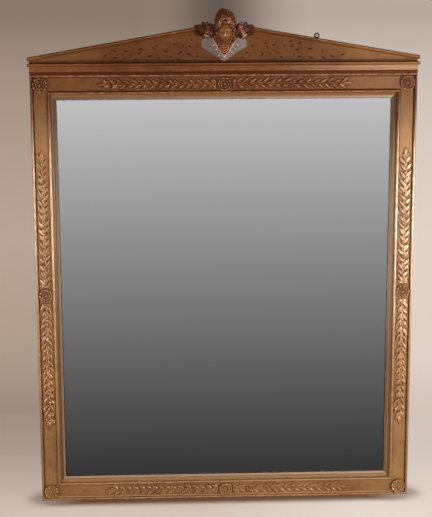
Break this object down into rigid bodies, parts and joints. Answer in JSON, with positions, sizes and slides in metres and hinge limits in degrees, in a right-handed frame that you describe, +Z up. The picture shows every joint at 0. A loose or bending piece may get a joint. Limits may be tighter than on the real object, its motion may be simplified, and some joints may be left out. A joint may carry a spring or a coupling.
{
  "type": "wall mirror",
  "caption": "Gilt wall mirror with a moulded frame, laurel garlands and rosettes, under a triangular pediment with a mask and leaf sprays.",
  "frame": {"origin": "on the wall plane, on the centre line, at the frame's bottom edge", "axes": "+X to the viewer's right, +Y from the mirror into the wall, +Z up"},
  "size_m": [1.044, 0.0678, 1.3673],
  "materials": {
    "gilt_frame": "bronze-gold paint on gessoed wood, rubbed on the edges",
    "gilt_moulding": "bronze-gold paint on gessoed wood, dusty on top",
    "gilt_pediment": "bronze-gold paint, darker, with cut leaf strokes",
    "gilt_ornament": "bronze-gold paint on moulded ornament, bright on the high parts",
    "mirror_glass": "silvered plate glass",
    "back_pine": "bare pine, darkened",
    "black_iron": "dull dark iron",
    "screw_steel": "dull steel"
  },
  "bodies": {
    "root": {"left_stile": "gilt_frame", "right_stile": "gilt_frame", "top_rail": "gilt_frame", "bottom_rail": "gilt_frame", "corner_keys": "back_pine", "mirror_glass": "mirror_glass", "glass_blocks": "back_pine", "backboard_plank_1": "back_pine", "backboard_plank_2": "back_pine", "backboard_plank_3": "back_pine", "backboard_plank_4": "back_pine", "backboard_nails": "black_iron", "cornice_fascia": "gilt_moulding", "cap_front": "gilt_moulding", "cap_return_left": "gilt_moulding", "cap_return_right": "gilt_moulding", "pediment_board": "gilt_pediment", "raking_left": "gilt_moulding", "raking_right": "gilt_moulding", "batten_left": "back_pine", "batten_right": "back_pine", "batten_screws": "screw_steel", "mask_head": "gilt_ornament", "mask_drape": "gilt_ornament", "spray_left": "gilt_ornament", "spray_right": "gilt_ornament", "garland_top_left": "gilt_ornament", "garland_top_right": "gilt_ornament", "rosette_top": "gilt_ornament", "garland_left_upper": "gilt_ornament", "garland_left_lower": "gilt_ornament", "rosette_left": "gilt_ornament", "garland_right_upper": "gilt_ornament", "garland_right_lower": "gilt_ornament", "rosette_right": "gilt_ornament", "garland_bottom_left": "gilt_ornament", "garland_bottom_right": "gilt_ornament", "rosette_bottom": "gilt_ornament", "corner_rosette_top_left": "gilt_ornament", "corner_rosette_top_right": "gilt_ornament", "corner_rosette_bottom_left": "gilt_ornament", "corner_rosette_bottom_right": "gilt_ornament", "hanging_eye": "black_iron", "eye_screws": "screw_steel", "hanger_left": "black_iron", "hanger_right": "black_iron", "hanger_screws": "screw_steel"}
  },
  "joints": []
}
